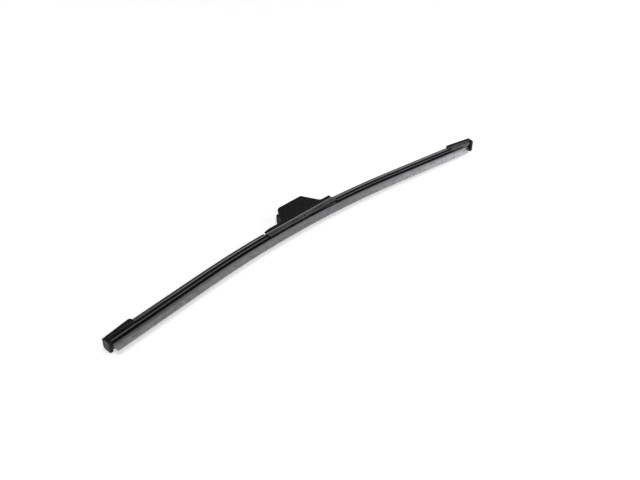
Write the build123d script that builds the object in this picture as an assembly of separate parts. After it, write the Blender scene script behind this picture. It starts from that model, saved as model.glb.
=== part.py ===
from build123d import *
import math
import os

# Beam wiper blade, lying on its side. X runs along the blade, Y from the wiping lip towards the arm,
# and Z across the blade, from the side it lies on to the side that faces up. The origin is the middle
# of the pivot pin. A station is a distance along the lip from the blade's middle, and a height is a
# distance from the lip's edge towards the arm.

# Blade as a whole: an arc in the middle with straight ends
blade_length = 450.0
bow_radius = 960.0
bow_length = 236.0

# Rubber strip, from the lip up to the crown over the spring rails
lip_height = 4.6
lip_edge_thickness = 0.7
lip_root_thickness = 1.8
wedge_height = 1.8
shoulder_width = 5.6
shoulder_height = 0.4
neck_height = 1.7
neck_thickness = 1.2
foot_height = 1.05
foot_width = 4.0
web_thickness = 1.6
crown_height = 1.05
crown_width = 6.8
rubber_far_inset = 9.0

# Spring rails, one in each side groove of the rubber
rail_width = 2.7
rail_thickness = 0.9
rail_clearance = 0.1
rail_end_gap = 1.0
rail_notch_length = 4.0
rail_notch_depth = 0.8
rail_notch_inset = 7.0

# Cover strips over the rails, one on each side of the bridge
cover_width = 9.4
cover_height = 8.55
cover_wall = 0.9
cover_lip_gap = 4.4
cover_shoulder_height = 4.4
cover_top_width = 6.6
cover_edge_radius = 0.4
cover_bead_radius = 0.4
cover_bead_proud = 0.15
cover_clearance = 0.15
cover_end_gap = 0.3

# End caps, which carry on the line of the covers
cap_length = 30.6
cap_width = 10.0
cap_top_width = 9.8
cap_height = 9.85
cap_shoulder_rise = 5.0
cap_taper = 2.2
cap_mouth_slope = 2.0
cap_mouth_drop = 1.6
cap_edge_radius = 0.8
cap_core_wall = 1.2
cap_recess_length = 12.4
cap_recess_height = 3.0
cap_recess_depth = 0.4
cap_recess_inset = 7.0
cap_recess_rise = 2.85
cap_window_radius = 0.9
cap_window_spacing = 7.8

# Plate that closes each end cap and stands on the floor
plate_thickness = 3.0
plate_width = 12.8
plate_drop = 1.4
plate_top_radius = 2.6
plate_bottom_radius = 1.4
plate_edge_radius = 0.8

# Bridge as a whole: a straight part that leans a little from the blade's middle
bridge_lean = 1.4
bridge_length = 85.0
bridge_offset = 0.2

# Bracket of the bridge, which grips the rails
bracket_width = 12.8
bracket_skirt_drop = 5.6
bracket_ledge_rise = 0.9
bracket_keel_rise = 0.8
bracket_keel_width = 9.0
bracket_hollow_width = 11.0
bracket_edge_radius = 0.4
bracket_claw_thickness = 1.65
bracket_slit_height = 0.9
bracket_slit_drop = 3.1
bracket_slit_lengths = (15.0, 12.4, 16.0)
bracket_slit_centres = (-33.0, -7.8, 20.0)
bracket_hole_radius = 1.0
bracket_hole_centre = 2.2
bracket_hole_drop = 4.4

# Housing of the bridge, with the two cheeks that hold the pivot pin
housing_inset = 0.4
housing_width = 12.2
housing_wall = 1.4
housing_floor = 1.3
housing_rim = 4.6
housing_near_slope = 7.0
housing_near_rise = 3.2
housing_clearance = 0.1
housing_edge_radius = 0.45
cheek_height = 22.8
cheek_near_foot = -20.5
cheek_near_top = -9.5
cheek_far_top = 21.0
cheek_far_foot = 31.1
cheek_near_radius = 6.5
cheek_far_radius = 4.0

# Pivot pin and the adapter that takes the hook of the arm
pin_radius = 2.5
pin_seat_depth = 0.9
pin_seat_clearance = 0.02
pin_end_chamfer = 0.3
hook_gap = 5.4
adapter_nose_radius = 4.5
adapter_running_clearance = 0.05
adapter_side_clearance = 0.25
adapter_length = 17.0
adapter_snap_width = 4.3
adapter_tail_radius = 1.2
tongue_thickness = 1.6
tongue_slit = 0.8
tongue_length = 11.0
tongue_tab = 1.4
tongue_nib_height = 0.55
tongue_nib_length = 3.0
tongue_nib_centre = -12.4
adapter_pocket_length = 7.0
adapter_pocket_height = 3.0
adapter_pocket_depth = 3.0
adapter_pocket_centre = -9.6

# Heights worked out from the stack of pieces
shoulder_bottom = lip_height + wedge_height
neck_bottom = shoulder_bottom + shoulder_height
foot_bottom = neck_bottom + neck_height
foot_top = foot_bottom + foot_height
rail_bottom = foot_top + rail_clearance
rail_top = rail_bottom + rail_thickness
crown_bottom = rail_top + rail_clearance
crown_top = crown_bottom + crown_height
rail_inner = web_thickness / 2 + rail_clearance
rail_outer = rail_inner + rail_width

cover_bottom = foot_bottom + cover_clearance
cover_lip_top = rail_bottom - cover_clearance
cover_inside_top = crown_top + cover_clearance
cover_inside_half = rail_outer + cover_clearance
cover_top = cover_bottom + cover_height
cover_shoulder = cover_bottom + cover_shoulder_height

cap_top = cover_bottom + cap_height
cap_low_top = cap_top - cap_taper
plate_bottom = cover_bottom - plate_drop

bracket_roof = crown_top + cover_clearance
bracket_ledge = bracket_roof + bracket_ledge_rise
bracket_keel = bracket_ledge + bracket_keel_rise
bracket_bottom = bracket_ledge - bracket_skirt_drop
bridge_start = bridge_offset - bridge_length / 2
bridge_end = bridge_offset + bridge_length / 2

housing_bottom = bracket_ledge + housing_clearance
channel_floor = bracket_keel + housing_floor
channel_half = housing_width / 2 - housing_wall
rim_top = bracket_ledge + housing_rim
cheek_top = bracket_ledge + cheek_height
pivot_height = channel_floor + hook_gap + adapter_nose_radius

# Bow of the blade, about an axis across it, and the plane of the bridge's side view
half_length = blade_length / 2
strip_reach = half_length - plate_thickness - cover_end_gap
cover_reach = half_length - cap_length - cover_end_gap
bow_half = bow_length / 2
lip_y = -pivot_height
bow_axis = Axis((0, lip_y - bow_radius, 0), (0, 0, 1))
lean = math.radians(bridge_lean)
bridge_plane = Plane((0, lip_y, 0), x_dir=(math.cos(lean), math.sin(lean), 0), z_dir=(0, 0, 1))


def bow_turn(station):
    """Angle, in radians, that the blade has turned down by this station."""
    return max(-bow_half, min(bow_half, station)) / bow_radius


def station_plane(station):
    """Plane of the cross-section at this station: its X is height and its Y is across the blade."""
    turn = bow_turn(station)
    straight = station - turn * bow_radius
    x = bow_radius * math.sin(turn) + straight * math.cos(turn)
    y = lip_y - bow_radius * (1 - math.cos(turn)) - straight * math.sin(turn)
    up = (math.sin(turn), math.cos(turn), 0)
    onward = (math.cos(turn), -math.sin(turn), 0)
    return Plane((x, y, 0), x_dir=up, z_dir=onward)


def along_blade(section, start, end):
    """Solid that carries a cross-section along the blade from one station to another."""
    runs = []
    if start < -bow_half:
        near_end = min(end, -bow_half)
        runs.append(extrude(station_plane(start) * section, near_end - start))
    if end > bow_half:
        far_start = max(start, bow_half)
        runs.append(extrude(station_plane(far_start) * section, end - far_start))
    arc_start = max(start, -bow_half)
    arc_end = min(end, bow_half)
    if arc_start < arc_end:
        turn = math.degrees(bow_turn(arc_end) - bow_turn(arc_start))
        runs.append(revolve(station_plane(arc_end) * section, bow_axis, turn))
    return Part() + runs


def outline(*corners):
    """Cross-section from (height, half width) corners of one side, mirrored to the other side."""
    mirrored = [(height, -half) for height, half in reversed(corners)]
    return make_face(Polyline(*corners, *mirrored, close=True))


def round_corners(face, radius, *corners):
    """The section with the corners at these heights and half widths rounded on both sides."""
    chosen = [
        vertex
        for vertex in face.vertices()
        for height, half in corners
        if math.isclose(vertex.X, height, abs_tol=1e-6) and math.isclose(abs(vertex.Y), half, abs_tol=1e-6)
    ]
    return fillet(chosen, radius)


def bar(low, high, half):
    """Rectangle across the mid-plane."""
    return Pos((low + high) / 2, 0) * Rectangle(high - low, 2 * half)


def band(low, high, inner, outer):
    """Two like rectangles, one on each side of the mid-plane."""
    rectangle = Pos((low + high) / 2, (inner + outer) / 2) * Rectangle(high - low, outer - inner)
    return rectangle + mirror(rectangle, about=Plane.XZ)


def bridge_block(start, end, low, high, half):
    """Block of the bridge, in the plane of its side view."""
    return Pos((start + end) / 2, (low + high) / 2, 0) * Box(end - start, high - low, 2 * half)


def make_rubber():
    """One extruded strip: lip, wedge, neck, foot, web between the rails and crown."""
    profile = outline(
        (0, lip_edge_thickness / 2),
        (lip_height, lip_root_thickness / 2),
        (shoulder_bottom, shoulder_width / 2),
        (neck_bottom, shoulder_width / 2),
        (neck_bottom, neck_thickness / 2),
        (foot_bottom, neck_thickness / 2),
        (foot_bottom, foot_width / 2),
        (foot_top, foot_width / 2),
        (foot_top, web_thickness / 2),
        (crown_bottom, web_thickness / 2),
        (crown_bottom, crown_width / 2),
        (crown_top, crown_width / 2),
    )
    return along_blade(profile, -strip_reach, strip_reach - rubber_far_inset)


def make_rail(side):
    """Flat spring strip with a locking notch near each end."""
    middle = side * (rail_inner + rail_outer) / 2
    profile = Pos((rail_bottom + rail_top) / 2, middle) * Rectangle(rail_thickness, rail_width)
    reach = half_length - plate_thickness - rail_end_gap
    rail = along_blade(profile, -reach, reach)
    notch = bar(rail_bottom - rail_thickness, rail_top + rail_thickness, rail_notch_depth)
    notch = Pos(0, side * rail_outer) * notch
    far = reach - rail_notch_inset
    near = far - rail_notch_length
    return rail - along_blade(notch, near, far) - along_blade(notch, -far, -near)


def rail_sleeve(profile):
    """The section with the space cut out of it that clips round both rails and the rubber's crown."""
    profile -= bar(cover_bottom, cover_lip_top, cover_lip_gap / 2)
    return profile - bar(cover_lip_top, cover_inside_top, cover_inside_half)


def make_cover(start, end):
    """Hollow strip that clips round both rails: upright sides, a bead along each, and a sloped top."""
    half = cover_width / 2
    top_half = cover_top_width / 2
    profile = outline((cover_bottom, half), (cover_shoulder, half), (cover_top, top_half))
    profile = round_corners(profile, cover_edge_radius, (cover_bottom, half), (cover_top, top_half))
    bead_middle = half + cover_bead_proud - cover_bead_radius
    for side in (-bead_middle, bead_middle):
        profile += Pos(cover_shoulder, side) * Circle(cover_bead_radius)
    profile -= bar(cover_inside_top + cover_wall, cover_top - cover_wall, top_half - cover_wall)
    return along_blade(rail_sleeve(profile), start, end)


def make_plate():
    """Rounded plate that closes the cap, with its outer edge rounded over."""
    half = plate_width / 2
    face = outline((plate_bottom, half), (cap_low_top, half))
    face = round_corners(face, plate_bottom_radius, (plate_bottom, half))
    face = round_corners(face, plate_top_radius, (cap_low_top, half))
    plate = extrude(Pos(0, 0, cap_length - plate_thickness) * face, plate_thickness)
    return fillet(plate.faces().sort_by(Axis.Z)[-1].edges(), plate_edge_radius)


def make_cap():
    """Cap for the far end: a hollow sleeve on the rails whose top falls towards the plate that closes it."""
    half = cap_width / 2
    shoulder = cover_bottom + cap_shoulder_rise
    profile = outline((cover_bottom, half), (shoulder, half), (cap_top, cap_top_width / 2))
    profile = round_corners(profile, cover_edge_radius, (cover_bottom, half))
    side_view = Polyline(
        (cover_bottom, 0),
        (cap_top - cap_mouth_drop, 0),
        (cap_top, cap_mouth_slope),
        (cap_low_top, cap_length),
        (cover_bottom, cap_length),
        close=True,
    )
    cap = extrude(profile, cap_length) & extrude(Plane.XZ * make_face(side_view), cap_width, both=True)
    top_edges = cap.faces().sort_by(Axis.X)[-1].edges().sort_by(SortBy.LENGTH)
    cap = fillet(top_edges[-2:], cap_edge_radius)

    core_half = cap_top_width / 2 - cap_core_wall
    core = bar(cover_inside_top + cap_core_wall, cap_low_top - cap_core_wall, core_half)
    cap -= extrude(core, cap_length - plate_thickness)
    space = bar(cover_bottom, cap_top, half) - rail_sleeve(bar(cover_bottom, cap_top, half))
    cap -= extrude(space, cap_length - plate_thickness)

    recess_height = cover_bottom + cap_recess_rise
    recess_middle = cap_length - cap_recess_inset - cap_recess_length / 2
    recess = Box(cap_recess_height, 2 * cap_recess_depth, cap_recess_length)
    for level in (-half, half):
        cap -= Pos(recess_height, level, recess_middle) * recess
    for step in (-cap_window_spacing / 2, cap_window_spacing / 2):
        window = Rot(90, 0, 0) * Cylinder(cap_window_radius, 2 * cap_width)
        cap -= Pos(recess_height, 0, recess_middle + step) * window
    return station_plane(half_length - cap_length) * (cap + make_plate())


def make_bracket():
    """Straight channel over the rails with claws under them, and a keel on top that locates the housing."""
    half = bracket_width / 2
    hollow = bracket_hollow_width / 2
    body = bridge_block(bridge_start, bridge_end, bracket_bottom, bracket_ledge, half)
    body = fillet(body.edges().filter_by(Axis.X), bracket_edge_radius)
    body += bridge_block(bridge_start, bridge_end, bracket_ledge, bracket_keel, bracket_keel_width / 2)
    bracket = bridge_plane * body

    claw_top = rail_bottom - rail_clearance
    space = bar(claw_top, bracket_roof, cover_inside_half)
    space += bar(bracket_bottom - bracket_skirt_drop, claw_top, hollow)
    bracket -= along_blade(space, bridge_start - bracket_width, bridge_end + bracket_width)

    claw = band(claw_top - bracket_claw_thickness, claw_top, cover_lip_gap / 2, hollow)
    slit_top = bracket_ledge - bracket_slit_drop
    for length, centre in zip(bracket_slit_lengths, bracket_slit_centres):
        start = centre - length / 2
        end = centre + length / 2
        slit = bridge_block(start, end, slit_top - bracket_slit_height, slit_top, bracket_width)
        bracket -= bridge_plane * slit
        bracket += along_blade(claw, start, end)
    hole = Pos(bracket_hole_centre, bracket_ledge - bracket_hole_drop, 0) * Cylinder(
        bracket_hole_radius, 2 * bracket_width
    )
    return bracket - bridge_plane * hole


def housing_side(start, end):
    """Side wall of the housing: a rim that slopes down at its near end, and the cheek that rises from it."""
    near_shoulder = (cheek_near_top, cheek_top)
    far_foot = (cheek_far_foot, rim_top)
    face = make_face(
        Polyline(
            (start, housing_bottom),
            (start, housing_bottom + housing_near_rise),
            (start + housing_near_slope, rim_top),
            (cheek_near_foot, rim_top),
            near_shoulder,
            (cheek_far_top, cheek_top),
            far_foot,
            (end, rim_top),
            (end, housing_bottom),
            close=True,
        )
    )
    face = fillet(face.vertices().sort_by_distance(near_shoulder)[0], cheek_near_radius)
    return fillet(face.vertices().sort_by_distance(far_foot)[0], cheek_far_radius)


def make_housing():
    """Straight tray on the bracket's keel, with a cheek on each side and a blind seat in each for the pin."""
    start = bridge_start + housing_inset
    end = bridge_end - housing_inset
    wall = extrude(Pos(0, 0, channel_half) * housing_side(start, end), housing_wall)
    outer_face = wall.faces().sort_by(Axis.Z)[-1]
    shown_edges = outer_face.edges().sort_by(Axis.Y)[1:]
    wall = fillet(shown_edges, housing_edge_radius)
    floor = bridge_block(start, end, bracket_keel, channel_floor, channel_half)
    housing = bridge_plane * (floor + wall + mirror(wall, about=Plane.XY))
    seat_reach = channel_half + pin_seat_depth
    return housing - Cylinder(pin_radius + pin_seat_clearance, 2 * seat_reach)


def make_pin():
    """Plain steel pin between the two blind seats."""
    pin = Cylinder(pin_radius, 2 * (channel_half + pin_seat_depth - pin_seat_clearance))
    return chamfer(pin.edges().filter_by(GeomType.CIRCLE), pin_end_chamfer)


def make_adapter():
    """Hook adapter: round nose on the pin, bar for the two legs of the hook, and a sprung tongue below."""
    nose = adapter_nose_radius
    width = 2 * (channel_half - adapter_side_clearance)
    bar_face = Pos(-adapter_length / 2, 0) * Rectangle(adapter_length, 2 * nose)
    tail = bar_face.vertices().group_by(Axis.X)[0]
    bar_face = fillet(tail, adapter_tail_radius)
    side = bar_face + Circle(nose)
    tongue_top = -nose + tongue_thickness
    slit_middle = tongue_top + tongue_slit / 2
    side -= Pos(-adapter_length + tongue_length / 2, slit_middle) * Rectangle(tongue_length, tongue_slit)
    tab_reach = adapter_length + tongue_tab
    tab_start = adapter_length - 2 * adapter_tail_radius
    side += Pos(-(tab_reach + tab_start) / 2, -nose + tongue_thickness / 2) * Rectangle(
        tab_reach - tab_start, tongue_thickness
    )
    nib = Polyline(
        (tongue_nib_centre - tongue_nib_length / 2, -nose),
        (tongue_nib_centre + tongue_nib_length / 2, -nose),
        (tongue_nib_centre + tongue_nib_length / 2, -nose - tongue_nib_height),
        close=True,
    )
    side += make_face(nib)
    side -= Circle(pin_radius + adapter_running_clearance)
    side -= Pos(0, -nose) * Rectangle(adapter_snap_width, 2 * nose)
    adapter = extrude(side, width / 2, both=True)
    pocket = Pos(adapter_pocket_centre, 0, width / 2) * Box(
        adapter_pocket_length, adapter_pocket_height, 2 * adapter_pocket_depth
    )
    return adapter - pocket - mirror(pocket, about=Plane.XY)


far_cap = make_cap()
pieces = {
    "wiper_rubber": make_rubber(),
    "upper_spring_rail": make_rail(1),
    "lower_spring_rail": make_rail(-1),
    "near_cover_strip": make_cover(-cover_reach, bridge_start - cover_end_gap),
    "far_cover_strip": make_cover(bridge_end + cover_end_gap, cover_reach),
    "near_end_cap": mirror(far_cap, about=Plane.YZ),
    "far_end_cap": far_cap,
    "bridge_bracket": make_bracket(),
    "bridge_housing": make_housing(),
    "pivot_pin": make_pin(),
    "hook_adapter": make_adapter(),
}

os.makedirs("parts", exist_ok=True)
for name, piece in pieces.items():
    export_step(piece, f"parts/{name}.step")
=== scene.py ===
import math

import bpy
from bpy.props import FloatProperty, FloatVectorProperty, PointerProperty
from bpy.types import Operator, Panel, PropertyGroup
from mathutils import Matrix, Vector


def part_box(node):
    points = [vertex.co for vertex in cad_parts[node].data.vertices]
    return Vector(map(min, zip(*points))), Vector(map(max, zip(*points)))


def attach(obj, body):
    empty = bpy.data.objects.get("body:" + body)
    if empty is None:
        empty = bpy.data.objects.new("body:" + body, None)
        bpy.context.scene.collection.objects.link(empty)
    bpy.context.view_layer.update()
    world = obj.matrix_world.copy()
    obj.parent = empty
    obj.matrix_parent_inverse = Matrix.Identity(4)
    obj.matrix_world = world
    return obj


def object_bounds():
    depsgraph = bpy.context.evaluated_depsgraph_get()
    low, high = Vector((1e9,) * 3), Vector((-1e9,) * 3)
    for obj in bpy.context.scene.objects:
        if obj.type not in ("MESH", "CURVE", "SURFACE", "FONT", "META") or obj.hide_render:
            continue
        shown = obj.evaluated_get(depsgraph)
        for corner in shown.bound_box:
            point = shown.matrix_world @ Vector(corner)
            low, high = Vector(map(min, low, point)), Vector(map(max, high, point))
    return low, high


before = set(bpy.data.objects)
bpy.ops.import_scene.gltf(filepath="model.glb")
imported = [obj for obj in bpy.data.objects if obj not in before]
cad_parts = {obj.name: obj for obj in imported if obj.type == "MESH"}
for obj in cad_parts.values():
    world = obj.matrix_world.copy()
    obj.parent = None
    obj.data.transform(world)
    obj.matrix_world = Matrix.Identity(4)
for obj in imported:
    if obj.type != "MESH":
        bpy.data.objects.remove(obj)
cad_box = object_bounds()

bl_info = {
    "name": "Beam wiper blade",
    "version": (1, 0, 0),
    "blender": (4, 5, 0),
    "location": "View3D > Sidebar > Wiper",
    "description": "Finishes, small moulded details and studio for a bowed beam wiper blade",
    "category": "Object",
}

# The blade lies on its side: X runs along it, Y from the lip to the arm, and Z across it.
floor_level = cad_box[0].z

# Places where finishes change, in metres: heights above the lip's edge, depths from the blade's middle plane,
# stations along the lip from its middle, and levels above the lip's middle, square to the leaning bridge.
# A pair is where a change begins and where it ends, and a reach is how far from its line a painted edge
# highlight fades.
lip_top_heights = (0.0042, 0.0056)
coat_top_heights = (0.0067, 0.0072)
wedge_sheen_stations = (-0.20, -0.05)
far_sheen_start_station = 0.04
bare_painted_light_stations = (0.0, 0.09)
bead_height = 0.01305
bead_reach = 0.0007
bead_highlight_stations = (-0.20, -0.09)
rim_height = 0.0090
cap_ridge_height = 0.01365
edge_reach = 0.0006
cover_side_depths = (0.0042, 0.0046)
cap_side_depths = (0.0043, 0.0048)
cap_stations = (0.190, 0.193)
plate_stations = (0.2205, 0.2215)
channel_depths = (0.0050, 0.0052)
channel_stations = (0.05, 0.06)
far_cap_light_stations = (0.192, 0.200)
cap_shoulder_heights = (0.0134, 0.0140)
cap_underside_heights = (0.0088, 0.0092)
cap_face_depths = (0.00440, 0.00455)
plate_foot_heights = (0.0108, 0.0116)
bracket_side_depths = (0.0056, 0.0060)
bracket_dust_levels = (0.0085, 0.0125)
bracket_edge_level = 0.01265
bracket_edge_reach = 0.0009

# Sockets of a Mix node that mixes colours
mix_factor_input = 0
mix_colour_inputs = (6, 7)
mix_colour_output = 2


class WiperForm(PropertyGroup):
    """Line that the blade follows, for finishes that run along it, and sizes of the small details"""

    lip_level: FloatProperty(
        name="Lip level",
        description="Y of the lip's edge at the blade's middle",
        default=-0.02475,
        unit="LENGTH",
    )
    bow_radius: FloatProperty(
        name="Bow radius",
        description="Radius of the bow at the lip's edge",
        default=0.960,
        unit="LENGTH",
    )
    bow_length: FloatProperty(
        name="Bow length",
        description="Length of the bowed middle, between the straight ends",
        default=0.236,
        unit="LENGTH",
    )
    half_length: FloatProperty(
        name="Half length",
        description="Distance along the lip from the middle to either end",
        default=0.225,
        unit="LENGTH",
    )
    bridge_lean: FloatProperty(
        name="Bridge lean",
        description="Turn of the bridge from the line of the blade's middle",
        default=math.radians(1.4),
        subtype="ANGLE",
    )
    gate_radius: FloatProperty(
        name="Gate mark radius",
        description="Radius of the moulding mark on each cheek",
        default=0.0016,
        unit="LENGTH",
    )
    gate_station: FloatProperty(
        name="Gate mark station",
        description="X of the moulding mark on each cheek",
        default=0.0206,
        unit="LENGTH",
    )
    gate_level: FloatProperty(
        name="Gate mark level",
        description="Y of the moulding mark on each cheek",
        default=-0.00805,
        unit="LENGTH",
    )
    grip_height: FloatProperty(
        name="Grip height",
        description="Height of the thumb grips on the adapter's tail",
        default=0.00035,
        unit="LENGTH",
    )
    grip_inset: FloatProperty(
        name="Grip inset",
        description="Distance from the end of the adapter's tail to the middle of the first grip",
        default=0.0034,
        unit="LENGTH",
    )


class WiperColours(PropertyGroup):
    """Colours of the finishes"""

    rubber_wedge: FloatVectorProperty(
        name="Rubber wedge",
        description="Coated rubber above the lip, at the near end",
        subtype="COLOR",
        default=(0.045, 0.045, 0.047),
    )
    # Painted sheen: the wedge is paler away from the near end.
    rubber_wedge_sheen: FloatVectorProperty(
        name="Rubber thin coat",
        description="Wedge where its coat thins out, away from the near end",
        subtype="COLOR",
        default=(0.19, 0.19, 0.195),
    )
    rubber_lip: FloatVectorProperty(
        name="Rubber lip",
        description="Graphite coat on the lip",
        subtype="COLOR",
        default=(0.255, 0.255, 0.26),
    )
    # Painted sheen on the rubber towards the far end.
    rubber_far_sheen: FloatVectorProperty(
        name="Rubber bloom",
        description="Pale bloom on the rubber towards the far end",
        subtype="COLOR",
        default=(0.72, 0.72, 0.74),
    )
    rubber_smear: FloatVectorProperty(
        name="Rubber smear",
        description="Dark smears on the coat",
        subtype="COLOR",
        default=(0.055, 0.055, 0.057),
    )
    rubber_worn: FloatVectorProperty(
        name="Rubber worn",
        description="Streaks and specks where the coat is worn",
        subtype="COLOR",
        default=(0.30, 0.30, 0.31),
    )
    rubber_bare: FloatVectorProperty(
        name="Rubber bare",
        description="Rubber above the coat, in the near half",
        subtype="COLOR",
        default=(0.022, 0.022, 0.023),
    )
    # Painted light: bare rubber is lighter in the far half than in the near half.
    rubber_bare_painted_light: FloatVectorProperty(
        name="Rubber bare far",
        description="Rubber above the coat, in the far half",
        subtype="COLOR",
        default=(0.085, 0.085, 0.088),
    )
    cover_black: FloatVectorProperty(
        name="Cover black",
        description="Extruded plastic of the cover strips",
        subtype="COLOR",
        default=(0.0065, 0.0065, 0.007),
    )
    moulded_black: FloatVectorProperty(
        name="Moulded black",
        description="Grained plastic of the end caps and the housing",
        subtype="COLOR",
        default=(0.0045, 0.0045, 0.005),
    )
    moulded_flow: FloatVectorProperty(
        name="Moulded flow",
        description="Flow clouds in the grained plastic",
        subtype="COLOR",
        default=(0.008, 0.008, 0.009),
    )
    # Painted light inside the housing's channel, which lies in shade.
    channel_painted_light: FloatVectorProperty(
        name="Channel grey",
        description="Inside of the housing, between its cheeks",
        subtype="COLOR",
        default=(0.028, 0.028, 0.029),
    )
    # Painted light on the far end cap's side and underside.
    cap_painted_light: FloatVectorProperty(
        name="Cap dust",
        description="Dust on the far end cap",
        subtype="COLOR",
        default=(0.085, 0.085, 0.088),
    )
    # Painted highlight for edges that catch the light.
    edge_highlight_grey: FloatVectorProperty(
        name="Rubbed edge",
        description="Plastic where its edges are rubbed pale",
        subtype="COLOR",
        default=(0.36, 0.36, 0.37),
    )
    bracket_coat: FloatVectorProperty(
        name="Bracket coat",
        description="Satin coat on the pressed bracket",
        subtype="COLOR",
        default=(0.055, 0.055, 0.058),
    )
    bracket_dust: FloatVectorProperty(
        name="Bracket dust",
        description="Dust on the bracket's sides",
        subtype="COLOR",
        default=(0.11, 0.11, 0.115),
    )
    # Painted highlight along the bracket's top edge.
    bracket_painted_highlight: FloatVectorProperty(
        name="Bracket edge",
        description="Coat rubbed bright along the bracket's top edge",
        subtype="COLOR",
        default=(0.58, 0.58, 0.59),
    )
    steel: FloatVectorProperty(
        name="Steel",
        description="Spring rails and pivot pin",
        subtype="COLOR",
        default=(0.52, 0.52, 0.53),
    )
    rail_dull: FloatVectorProperty(
        name="Rail dull",
        description="Dull clouds on the spring rails",
        subtype="COLOR",
        default=(0.36, 0.36, 0.37),
    )
    pin_dull: FloatVectorProperty(
        name="Pin dull",
        description="Dull rings on the pivot pin",
        subtype="COLOR",
        default=(0.44, 0.44, 0.45),
    )
    adapter_black: FloatVectorProperty(
        name="Adapter black",
        description="Smooth plastic of the hook adapter",
        subtype="COLOR",
        default=(0.008, 0.008, 0.009),
    )
    adapter_scuff: FloatVectorProperty(
        name="Adapter scuff",
        description="Scuffs that the hook leaves on the adapter",
        subtype="COLOR",
        default=(0.022, 0.022, 0.023),
    )


class WiperStage(PropertyGroup):
    """Floor, lights and camera"""

    floor_radius: FloatProperty(
        name="Floor radius",
        description="Radius of the round floor, out to the foot of the backdrop",
        default=3.0,
        unit="LENGTH",
    )
    backdrop_height: FloatProperty(
        name="Backdrop height",
        description="Height of the white backdrop that stands round the floor",
        default=1.3,
        unit="LENGTH",
    )
    floor_glow: FloatProperty(
        name="Floor glow",
        description="Brightness that the floor has of its own, as a lit table does",
        default=0.45,
    )
    overhead_power: FloatProperty(
        name="Overhead power",
        description="Power of the softbox above the blade",
        default=11.0,
    )
    backdrop_glow: FloatProperty(
        name="Backdrop glow",
        description="Brightness that the backdrop has of its own",
        default=0.28,
    )
    key_power: FloatProperty(
        name="Key power",
        description="Power of the softbox on the lip's side, towards the far end",
        default=2.4,
    )
    fill_power: FloatProperty(
        name="Fill power",
        description="Power of the softbox on the arm's side",
        default=2.0,
    )
    horizon_power: FloatProperty(
        name="Horizon power",
        description="Power of the low softbox beyond the far end, on the arm's side",
        default=1.5,
    )
    ambient: FloatProperty(
        name="Ambient",
        description="Brightness of the studio all round",
        default=0.05,
    )
    azimuth: FloatProperty(
        name="Camera azimuth",
        description="Turn of the camera round the blade",
        default=math.radians(-41.62),
        subtype="ANGLE",
    )
    elevation: FloatProperty(
        name="Camera elevation",
        description="Angle of the camera above the floor",
        default=math.radians(39.54),
        subtype="ANGLE",
    )
    distance: FloatProperty(
        name="Camera distance",
        description="Distance from the camera to the lip's middle, along its line of sight",
        default=0.7847,
        unit="LENGTH",
    )
    slide_right: FloatProperty(
        name="Camera slide right",
        description="Shift of the camera to its right",
        default=0.01055,
        unit="LENGTH",
    )
    slide_up: FloatProperty(
        name="Camera slide up",
        description="Shift of the camera upwards in its own frame",
        default=-0.01361,
        unit="LENGTH",
    )
    lens: FloatProperty(
        name="Lens",
        description="Focal length of the camera, in millimetres",
        default=46.125,
        unit="CAMERA",
    )


class Shade:
    """A value in a material's node tree: sums on it add the nodes that work them out."""

    def __init__(self, tree, socket=None):
        self.tree = tree
        self.socket = socket

    def node(self, kind, settings=None, inputs=None, output=0):
        """A new node of this type, with its settings and inputs set, as the value of one output."""
        made = self.tree.nodes.new(kind)
        for name, value in (settings or {}).items():
            setattr(made, name, value)
        for name, value in (inputs or {}).items():
            if isinstance(value, Shade):
                self.tree.links.new(value.socket, made.inputs[name])
            else:
                made.inputs[name].default_value = value
        return Shade(self.tree, made.outputs[output])

    def math(self, operation, *values):
        return self.node("ShaderNodeMath", {"operation": operation}, dict(enumerate(values)))

    def __add__(self, other):
        return self.math("ADD", self, other)

    def __sub__(self, other):
        return self.math("SUBTRACT", self, other)

    def __rsub__(self, other):
        return self.math("SUBTRACT", other, self)

    def __mul__(self, other):
        return self.math("MULTIPLY", self, other)

    __radd__ = __add__
    __rmul__ = __mul__

    def between(self, low, high):
        """0 below the low value, 1 above the high one, and a smooth rise between them."""
        settings = {"interpolation_type": "SMOOTHSTEP"}
        inputs = {"Value": self, "From Min": low, "From Max": high}
        return self.node("ShaderNodeMapRange", settings, inputs)

    def near(self, level, width):
        """1 at this level, falling to 0 this far from it."""
        return 1 - self.math("ABSOLUTE", self - level).between(0.0, width)


def mix_colours(factor, first, second):
    """Colour between two colours, each a constant or a value."""
    inputs = {mix_factor_input: factor}
    for place, colour in zip(mix_colour_inputs, (first, second)):
        inputs[place] = colour if isinstance(colour, Shade) else (*colour, 1.0)
    return factor.node("ShaderNodeMix", {"data_type": "RGBA"}, inputs, output=mix_colour_output)


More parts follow.
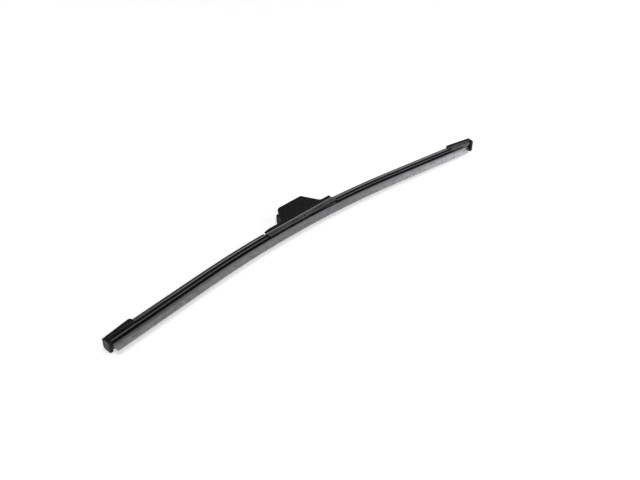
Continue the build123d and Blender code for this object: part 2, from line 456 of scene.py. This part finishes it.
class Finish:
    """A new material with its surface shader, and the places on the blade that its patterns follow."""

    def __init__(self, name, form):
        self.material = bpy.data.materials.new(name)
        self.material.use_nodes = True
        self.tree = self.material.node_tree
        self.shader = self.tree.nodes["Principled BSDF"]
        self.start = Shade(self.tree)
        place = self.start.node("ShaderNodeTexCoord", output="Object")
        split = self.start.node("ShaderNodeSeparateXYZ", None, {0: place}).socket.node
        self.x, self.y, self.z = (Shade(self.tree, axis) for axis in split.outputs)
        self.depth = self.z.math("ABSOLUTE", self.z)
        self.follow_bow(form)

    def follow_bow(self, form):
        """Station along the lip and height above it, at any point of the blade."""
        from_axis = self.y - (form.lip_level - form.bow_radius)
        most = form.bow_length / 2 / form.bow_radius
        turn = self.x.math("ARCTAN2", self.x, from_axis)
        turn = turn.math("MINIMUM", turn.math("MAXIMUM", turn, -most), most)
        sine = turn.math("SINE", turn)
        cosine = turn.math("COSINE", turn)
        self.height = self.x * sine + from_axis * cosine - form.bow_radius
        self.station = turn * form.bow_radius + (self.x * cosine - from_axis * sine)

    def noise(self, scale, stretch=(1.0, 1.0, 1.0), detail=2.0):
        """Cloudy pattern along station, height and depth, this many clouds to a metre."""
        along = self.start.node("ShaderNodeCombineXYZ", None, {0: self.station, 1: self.height, 2: self.z})
        mapped = self.start.node("ShaderNodeMapping", None, {"Vector": along, "Scale": stretch})
        inputs = {"Vector": mapped, "Scale": scale, "Detail": detail}
        return self.start.node("ShaderNodeTexNoise", None, inputs)

    def bump(self, height, strength, distance):
        """Relief of the surface, with its depth in metres."""
        inputs = {"Height": height, "Strength": strength, "Distance": distance}
        self.set("Normal", self.start.node("ShaderNodeBump", None, inputs))

    def set(self, name, value):
        if isinstance(value, Shade):
            self.tree.links.new(value.socket, self.shader.inputs[name])
        else:
            self.shader.inputs[name].default_value = value


def rubber_finish(form, colours):
    """Rubber with a graphite coat: dark wedge, paler lip, streaks, painted sheen that pales the wedge away
    from the near end and the rubber towards the far end, and bare rubber above, painted lighter in the far
    half.
    """
    finish = Finish("graphite_rubber", form)
    streaks = finish.noise(700.0, (0.02, 1.0, 1.0), 4.0)
    clouds = finish.noise(90.0, (0.3, 1.0, 1.0), 3.0)
    specks = finish.noise(5200.0, (0.6, 1.0, 1.0), 1.0)
    smears = finish.noise(420.0, (0.5, 1.0, 1.0), 3.0)
    lip = 1 - finish.height.between(*lip_top_heights)
    # Painted sheen: the wedge grows paler from the near end towards the middle, in place of light falling on
    # it.
    wedge_sheen = finish.station.between(*wedge_sheen_stations) * 0.5
    wedge = mix_colours(wedge_sheen, colours.rubber_wedge, colours.rubber_wedge_sheen)
    coat = mix_colours(lip, wedge, colours.rubber_lip)
    # Painted sheen: the rubber, the lip most of all, grows paler towards the far end, in place of the far
    # light.
    far = finish.station.between(far_sheen_start_station, form.half_length)
    far_sheen = far * (0.3 + 0.7 * lip) * (0.75 + 0.5 * clouds)
    colour = mix_colours(far_sheen, coat, colours.rubber_far_sheen)
    colour = mix_colours(smears.between(0.44, 0.66) * 0.38, colour, colours.rubber_smear)
    worn = 0.55 * streaks + 0.3 * specks + 0.15 * clouds
    colour = mix_colours(worn.between(0.30, 0.78) * 0.35, colour, colours.rubber_worn)
    uncoated = finish.height.between(*coat_top_heights)
    # Painted light: the bare rubber above the coat grows lighter towards the far end.
    far_painted_light = finish.station.between(*bare_painted_light_stations)
    bare = mix_colours(far_painted_light, colours.rubber_bare, colours.rubber_bare_painted_light)
    finish.set("Base Color", mix_colours(uncoated, colour, bare))
    finish.set("Roughness", 0.44 + 0.22 * streaks)
    finish.bump(0.7 * streaks + 0.3 * specks, 0.25, 0.00012)
    return finish.material


def cover_finish(form, colours):
    """Extruded black plastic: fine drawn lines, and painted highlights along the bead and the lower rim."""
    finish = Finish("extruded_black", form)
    lines = finish.noise(1500.0, (0.01, 1.0, 1.0), 3.0)
    clouds = finish.noise(60.0, (0.4, 1.0, 1.0), 3.0)
    # Painted highlights: pale lines along the bead and the lower rim, in place of light caught by these
    # edges, stronger towards the far end.
    bead = finish.height.near(bead_height, bead_reach)
    rim = finish.height.near(rim_height, edge_reach) * finish.depth.between(*cover_side_depths)
    far_painted_light = finish.station.between(*bead_highlight_stations)
    painted_highlight = (bead * (0.55 + 0.75 * far_painted_light) + 0.5 * rim) * (0.45 + 0.8 * clouds)
    finish.set("Base Color", mix_colours(painted_highlight, colours.cover_black, colours.edge_highlight_grey))
    finish.set("Roughness", 0.28 + 0.12 * lines + 0.06 * clouds)
    finish.set("Specular IOR Level", 0.2)
    finish.bump(lines, 0.18, 0.00008)
    return finish.material


def far_cap_painted_light(finish, on_plate):
    """Painted light on the far cap's side, up to the shoulder, and underneath, but not on the end plate's
    foot.
    """
    below_shoulder = 1 - finish.height.between(*cap_shoulder_heights)
    underside = 1 - finish.height.between(*cap_underside_heights)
    outside = underside.math("MAXIMUM", underside, finish.depth.between(*cap_face_depths))
    plate_foot = on_plate * (1 - finish.height.between(*plate_foot_heights))
    return finish.station.between(*far_cap_light_stations) * below_shoulder * outside * (1 - plate_foot)


def moulded_finish(form, colours):
    """Black moulded plastic: fine grain, flow clouds, painted light in the housing's channel and on the far
    cap, and painted highlights along the caps' rims and ridges.
    """
    finish = Finish("grained_black", form)
    grain = finish.noise(3600.0, (1.0, 1.0, 1.0), 2.0)
    clouds = finish.noise(70.0, (1.0, 1.0, 1.0), 4.0)
    colour = mix_colours(clouds.between(0.45, 0.75) * 0.5, colours.moulded_black, colours.moulded_flow)
    from_middle = finish.station.math("ABSOLUTE", finish.station)
    # Painted light: the channel between the housing's cheeks is lightened where it lies in shade.
    painted_light_channel = (1 - finish.depth.between(*channel_depths)) * (1 - from_middle.between(*channel_stations))
    colour = mix_colours(painted_light_channel, colour, colours.channel_painted_light)
    on_plate = from_middle.between(*plate_stations)
    # Painted light: the far cap's side and underside are made pale.
    dust_and_painted_light = far_cap_painted_light(finish, on_plate) * (0.4 + 0.9 * clouds)
    colour = mix_colours(dust_and_painted_light, colour, colours.cap_painted_light)
    # Painted highlights along the cap's lower rim and the ridge at its shoulder, where these edges catch the
    # light.
    on_cap_side = from_middle.between(*cap_stations) * (1 - on_plate) * finish.depth.between(*cap_side_depths)
    rim = finish.height.near(rim_height, edge_reach)
    ridge = finish.height.near(cap_ridge_height, edge_reach)
    painted_highlight = on_cap_side * (0.45 * rim + 0.16 * ridge) * (0.45 + 0.8 * clouds)
    finish.set("Base Color", mix_colours(painted_highlight, colour, colours.edge_highlight_grey))
    finish.set("Roughness", 0.32 + 0.16 * grain + 0.06 * clouds)
    finish.set("Specular IOR Level", 0.2)
    finish.bump(grain, 0.35, 0.00006)
    return finish.material


def bracket_finish(form, colours):
    """Satin black coat on pressed metal: painted shade inside, dust outside, paler towards the top, and a
    painted highlight along its top edge.
    """
    finish = Finish("satin_coat", form)
    peel = finish.noise(900.0, (1.0, 1.0, 1.0), 2.0)
    dust = finish.noise(4200.0, (1.0, 1.0, 1.0), 2.0)
    clouds = finish.noise(110.0, (0.5, 1.0, 1.0), 4.0)
    lean = form.bridge_lean
    level = (finish.y - form.lip_level) * math.cos(lean) - finish.x * math.sin(lean)
    outside = finish.depth.between(*bracket_side_depths)
    dust_and_painted_light = dust.between(0.58, 0.78) * 0.35 + clouds.between(0.4, 0.8) * 0.3
    dust_and_painted_light = dust_and_painted_light + level.between(*bracket_dust_levels) * 0.4
    coat = mix_colours(dust_and_painted_light, colours.bracket_coat, colours.bracket_dust)
    # Painted highlight: a bright line along the bracket's top edge, where it catches the light.
    painted_highlight = level.near(bracket_edge_level, bracket_edge_reach) * (0.7 + 0.8 * clouds)
    coat = mix_colours(painted_highlight, coat, colours.bracket_painted_highlight)
    # Painted shade: inside, the bracket takes the black of the mouldings, so that its slits stay dark.
    finish.set("Base Color", mix_colours(outside, colours.moulded_black, coat))
    finish.set("Roughness", 0.30 + 0.16 * clouds + 0.08 * dust)
    finish.bump(peel, 0.2, 0.00008)
    return finish.material


def steel_finish(form, colours):
    """Rolled spring steel with drawn lines along it."""
    finish = Finish("rolled_steel", form)
    lines = finish.noise(2600.0, (0.01, 1.0, 1.0), 3.0)
    clouds = finish.noise(80.0, (0.4, 1.0, 1.0), 3.0)
    finish.set("Metallic", 1.0)
    finish.set("Base Color", mix_colours(clouds.between(0.35, 0.7), colours.steel, colours.rail_dull))
    finish.set("Roughness", 0.24 + 0.2 * lines)
    finish.bump(lines, 0.15, 0.00005)
    return finish.material


def pin_finish(form, colours):
    """Ground steel with fine rings round the pin."""
    finish = Finish("ground_steel", form)
    rings = finish.noise(6000.0, (0.02, 0.02, 1.0), 2.0)
    finish.set("Metallic", 1.0)
    finish.set("Base Color", mix_colours(rings.between(0.3, 0.7), colours.steel, colours.pin_dull))
    finish.set("Roughness", 0.18 + 0.18 * rings)
    finish.bump(rings, 0.12, 0.00003)
    return finish.material


def adapter_finish(form, colours):
    """Smooth moulded plastic with flow clouds and a few scuffs from the hook."""
    finish = Finish("smooth_moulded", form)
    clouds = finish.noise(160.0, (1.0, 1.0, 1.0), 4.0)
    scuffs = finish.noise(1300.0, (0.05, 1.0, 1.0), 3.0)
    worn = scuffs.between(0.56, 0.75) * 0.4
    finish.set("Base Color", mix_colours(worn, colours.adapter_black, colours.adapter_scuff))
    finish.set("Roughness", 0.26 + 0.2 * clouds + 0.12 * scuffs)
    finish.set("Specular IOR Level", 0.08)
    finish.bump(scuffs, 0.15, 0.00006)
    return finish.material


def floor_finish(name, glow):
    """White surface of the stage, lit from within."""
    material = bpy.data.materials.new(name)
    material.use_nodes = True
    shader = material.node_tree.nodes["Principled BSDF"]
    shader.inputs["Base Color"].default_value = (0.9, 0.9, 0.9, 1.0)
    shader.inputs["Roughness"].default_value = 0.6
    shader.inputs["Emission Color"].default_value = (1.0, 1.0, 1.0, 1.0)
    shader.inputs["Emission Strength"].default_value = glow
    return material


def finish_nodes(material, *names):
    """Gives one material to CAD pieces."""
    for name in names:
        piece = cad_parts[name]
        piece.data.materials.clear()
        piece.data.materials.append(material)


class WIPER_OT_rubber(Operator):
    """Finish the wiping rubber"""

    bl_idname = "wiper.rubber"
    bl_label = "Wiping rubber"

    def execute(self, context):
        scene = context.scene
        finish_nodes(rubber_finish(scene.wiper_form, scene.wiper_colours), "wiper_rubber")
        return {"FINISHED"}


class WIPER_OT_covers(Operator):
    """Finish both cover strips"""

    bl_idname = "wiper.covers"
    bl_label = "Cover strips"

    def execute(self, context):
        scene = context.scene
        material = cover_finish(scene.wiper_form, scene.wiper_colours)
        finish_nodes(material, "near_cover_strip", "far_cover_strip")
        return {"FINISHED"}


class WIPER_OT_mouldings(Operator):
    """Finish the end caps and the housing"""

    bl_idname = "wiper.mouldings"
    bl_label = "End caps and housing"

    def execute(self, context):
        scene = context.scene
        material = moulded_finish(scene.wiper_form, scene.wiper_colours)
        finish_nodes(material, "near_end_cap", "far_end_cap", "bridge_housing")
        return {"FINISHED"}


class WIPER_OT_bracket(Operator):
    """Finish the bracket"""

    bl_idname = "wiper.bracket"
    bl_label = "Bracket"

    def execute(self, context):
        scene = context.scene
        finish_nodes(bracket_finish(scene.wiper_form, scene.wiper_colours), "bridge_bracket")
        return {"FINISHED"}


class WIPER_OT_steel(Operator):
    """Finish the spring rails and the pivot pin"""

    bl_idname = "wiper.steel"
    bl_label = "Rails and pin"

    def execute(self, context):
        scene = context.scene
        rails = steel_finish(scene.wiper_form, scene.wiper_colours)
        finish_nodes(rails, "upper_spring_rail", "lower_spring_rail")
        finish_nodes(pin_finish(scene.wiper_form, scene.wiper_colours), "pivot_pin")
        return {"FINISHED"}


class WIPER_OT_adapter(Operator):
    """Finish the hook adapter"""

    bl_idname = "wiper.adapter"
    bl_label = "Hook adapter"

    def execute(self, context):
        scene = context.scene
        finish_nodes(adapter_finish(scene.wiper_form, scene.wiper_colours), "hook_adapter")
        return {"FINISHED"}


def select_faces(piece, wanted):
    """Selects the faces of a piece that pass a test, and opens it in edit mode."""
    bpy.ops.object.mode_set(mode="EDIT")
    bpy.ops.mesh.select_mode(type="FACE")
    bpy.ops.mesh.select_all(action="DESELECT")
    bpy.ops.object.mode_set(mode="OBJECT")
    for face in piece.data.polygons:
        face.select = wanted(face)
    bpy.ops.object.mode_set(mode="EDIT")


def place_piece(piece, name, twin, body):
    """Names a finished piece, gives it the finish of a CAD piece and lets it ride on a body."""
    bpy.ops.object.shade_smooth_by_angle(angle=math.radians(35))
    bpy.ops.object.transform_apply(location=True, rotation=True, scale=True)
    piece.name = name
    piece.data.materials.append(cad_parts[twin].data.materials[0])
    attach(piece, body)


class WIPER_OT_gate_marks(Operator):
    """Model the round moulding mark on each cheek of the housing"""

    bl_idname = "wiper.gate_marks"
    bl_label = "Gate marks"

    def execute(self, context):
        form = context.scene.wiper_form
        radius = form.gate_radius
        rim_width = radius * 0.3
        slope_width = radius * 0.35
        proud = radius / 12
        rounding = proud * 0.6
        dish_depth = proud * 0.8
        core_rise = proud * 0.5
        cheek_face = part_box("bridge_housing")[1].z
        place = (form.gate_station, form.gate_level, cheek_face)
        bpy.ops.object.select_all(action="DESELECT")
        bpy.ops.mesh.primitive_cylinder_add(vertices=48, radius=radius, depth=2 * proud, location=place)
        upper = context.object
        select_faces(upper, lambda face: face.normal.z > 0.9)
        bpy.ops.mesh.bevel(offset=rounding, segments=2, affect="EDGES")
        select_faces(upper, lambda face: face.normal.z > 0.99)
        bpy.ops.mesh.inset(thickness=rim_width)
        bpy.ops.transform.translate(value=(0, 0, -dish_depth))
        bpy.ops.mesh.inset(thickness=slope_width)
        bpy.ops.transform.translate(value=(0, 0, core_rise))
        bpy.ops.object.mode_set(mode="OBJECT")
        place_piece(upper, "upper_gate_mark", "bridge_housing", "blade")

        bpy.ops.object.duplicate(linked=False)
        lower = context.object
        bpy.ops.transform.mirror(constraint_axis=(False, False, True), center_override=(0, 0, 0))
        bpy.ops.object.transform_apply(location=True, rotation=True, scale=True)
        bpy.ops.object.mode_set(mode="EDIT")
        bpy.ops.mesh.select_all(action="SELECT")
        bpy.ops.mesh.normals_make_consistent(inside=False)
        bpy.ops.object.mode_set(mode="OBJECT")
        lower.name = "lower_gate_mark"
        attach(lower, "blade")
        return {"FINISHED"}


class WIPER_OT_thumb_grips(Operator):
    """Model the three thumb grips across the adapter's tail"""

    bl_idname = "wiper.thumb_grips"
    bl_label = "Thumb grips"

    def execute(self, context):
        form = context.scene.wiper_form
        names = ("rear_grip", "middle_grip", "front_grip")
        rise = form.grip_height
        pitch = 4 * rise
        rounding = rise * 0.3
        taper = (0.6, 1, 0.96)
        low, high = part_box("hook_adapter")
        place = (low.x + form.grip_inset, high.y, 0)
        size = (2.4 * rise, 2 * rise, 1.6 * high.z)
        bpy.ops.object.select_all(action="DESELECT")
        bpy.ops.mesh.primitive_cube_add(size=1, location=place, scale=size)
        grip = context.object
        bpy.ops.object.transform_apply(location=True, rotation=True, scale=True)
        select_faces(grip, lambda face: face.normal.y > 0.9)
        bpy.ops.transform.resize(value=taper)
        bpy.ops.mesh.bevel(offset=rounding, segments=3, affect="EDGES")
        bpy.ops.object.mode_set(mode="OBJECT")
        grips = [grip]
        while len(grips) < len(names):
            bpy.ops.object.duplicate(linked=False)
            bpy.ops.transform.translate(value=(pitch, 0, 0))
            grips.append(context.object)
        for piece, name in zip(grips, names):
            bpy.ops.object.select_all(action="DESELECT")
            piece.select_set(True)
            context.view_layer.objects.active = piece
            place_piece(piece, name, "hook_adapter", "adapter")
        return {"FINISHED"}


class WIPER_OT_stage(Operator):
    """Lay the floor and set the lights and the camera"""

    bl_idname = "wiper.stage"
    bl_label = "Stage"

    def execute(self, context):
        scene = context.scene
        stage = scene.wiper_stage
        self.sweep(stage)
        middle = (0, 0, 0)
        far_half = (0.10, 0, 0)
        far_half_lip = (0.10, -0.03, 0)
        self.softbox("overhead_softbox", (-0.2, -0.25, 1.5), middle, side=1.1, power=stage.overhead_power)
        self.softbox("key_softbox", (0.60, -0.52, 0.46), far_half_lip, side=0.35, power=stage.key_power)
        self.softbox("fill_softbox", (-0.45, 0.95, 0.60), middle, side=0.5, power=stage.fill_power)
        self.softbox("horizon_softbox", (1.50, 1.45, 0.36), far_half, side=0.7, power=stage.horizon_power)

        world = bpy.data.worlds.new("studio")
        world.use_nodes = True
        background = world.node_tree.nodes["Background"]
        background.inputs["Color"].default_value = (1.0, 1.0, 1.0, 1.0)
        background.inputs["Strength"].default_value = stage.ambient
        scene.world = world
        scene.view_settings.view_transform = "Standard"
        self.camera(scene)
        return {"FINISHED"}

    def sweep(self, stage):
        """Round white floor whose rim sweeps up into a low backdrop."""
        flat_tolerance = 0.001
        bpy.ops.object.select_all(action="DESELECT")
        bpy.ops.mesh.primitive_circle_add(
            vertices=128, radius=stage.floor_radius, fill_type="NGON", location=(0, 0, floor_level)
        )
        floor = bpy.context.object
        floor.name = "white_sweep"
        bpy.ops.object.mode_set(mode="EDIT")
        bpy.ops.mesh.select_mode(type="EDGE")
        bpy.ops.mesh.select_all(action="SELECT")
        bpy.ops.mesh.extrude_edges_move(TRANSFORM_OT_translate={"value": (0, 0, stage.backdrop_height)})
        bpy.ops.object.mode_set(mode="OBJECT")
        for edge in floor.data.edges:
            ends = [floor.data.vertices[index].co.z for index in edge.vertices]
            edge.select = all(abs(level) < flat_tolerance for level in ends)
        bpy.ops.object.mode_set(mode="EDIT")
        bpy.ops.mesh.bevel(offset=stage.backdrop_height / 2, segments=10, affect="EDGES")
        bpy.ops.object.mode_set(mode="OBJECT")
        bpy.ops.object.shade_smooth_by_angle(angle=math.radians(30))
        bpy.ops.object.transform_apply(location=True, rotation=True, scale=True)
        floor.data.materials.append(floor_finish("white_table", stage.floor_glow))
        floor.data.materials.append(floor_finish("white_backdrop", stage.backdrop_glow))
        for face in floor.data.polygons:
            face.material_index = int(face.center.z > floor_level + flat_tolerance)

    def softbox(self, name, place, target, side, power):
        """Square soft light that faces a point."""
        aim = (Vector(target) - Vector(place)).to_track_quat("-Z", "Y")
        bpy.ops.object.light_add(type="AREA", location=place, rotation=aim.to_euler())
        light = bpy.context.object
        light.name = name
        light.data.shape = "SQUARE"
        light.data.size = side
        light.data.energy = power
        light.visible_camera = False

    def camera(self, scene):
        """Camera at the photograph's angle."""
        stage = scene.wiper_stage
        turn = stage.azimuth
        rise = stage.elevation
        right = Vector((math.cos(turn), math.sin(turn), 0))
        back = Vector((math.sin(turn) * math.cos(rise), -math.cos(turn) * math.cos(rise), math.sin(rise)))
        up = back.cross(right)
        target = Vector((0, scene.wiper_form.lip_level, 0))
        place = target + stage.slide_right * right + stage.slide_up * up + stage.distance * back
        aim = Matrix((right, up, back)).transposed().to_euler()
        bpy.ops.object.camera_add(location=place, rotation=aim)
        camera = bpy.context.object
        camera.name = "photo_camera"
        camera.data.lens = stage.lens
        camera.data.clip_start = 0.01
        camera.data.clip_end = 50.0
        scene.camera = camera


class WIPER_PT_panel(Panel):
    """Pieces of the wiper blade"""

    bl_idname = "WIPER_PT_panel"
    bl_label = "Wiper blade"
    bl_space_type = "VIEW_3D"
    bl_region_type = "UI"
    bl_category = "Wiper"

    def draw(self, context):
        for operator in operators:
            self.layout.operator(operator.bl_idname)


groups = {"wiper_form": WiperForm, "wiper_colours": WiperColours, "wiper_stage": WiperStage}
operators = (
    WIPER_OT_rubber,
    WIPER_OT_covers,
    WIPER_OT_mouldings,
    WIPER_OT_bracket,
    WIPER_OT_steel,
    WIPER_OT_adapter,
    WIPER_OT_gate_marks,
    WIPER_OT_thumb_grips,
    WIPER_OT_stage,
)
classes = (*groups.values(), *operators, WIPER_PT_panel)


def register():
    for cls in classes:
        bpy.utils.register_class(cls)
    for name, group in groups.items():
        setattr(bpy.types.Scene, name, PointerProperty(type=group))


def unregister():
    for name in groups:
        delattr(bpy.types.Scene, name)
    for cls in reversed(classes):
        bpy.utils.unregister_class(cls)


def main():
    register()
    bpy.ops.wiper.rubber()
    bpy.ops.wiper.covers()
    bpy.ops.wiper.mouldings()
    bpy.ops.wiper.bracket()
    bpy.ops.wiper.steel()
    bpy.ops.wiper.adapter()
    bpy.ops.wiper.gate_marks()
    bpy.ops.wiper.thumb_grips()
    bpy.ops.wiper.stage()


if __name__ == "__main__":
    main()
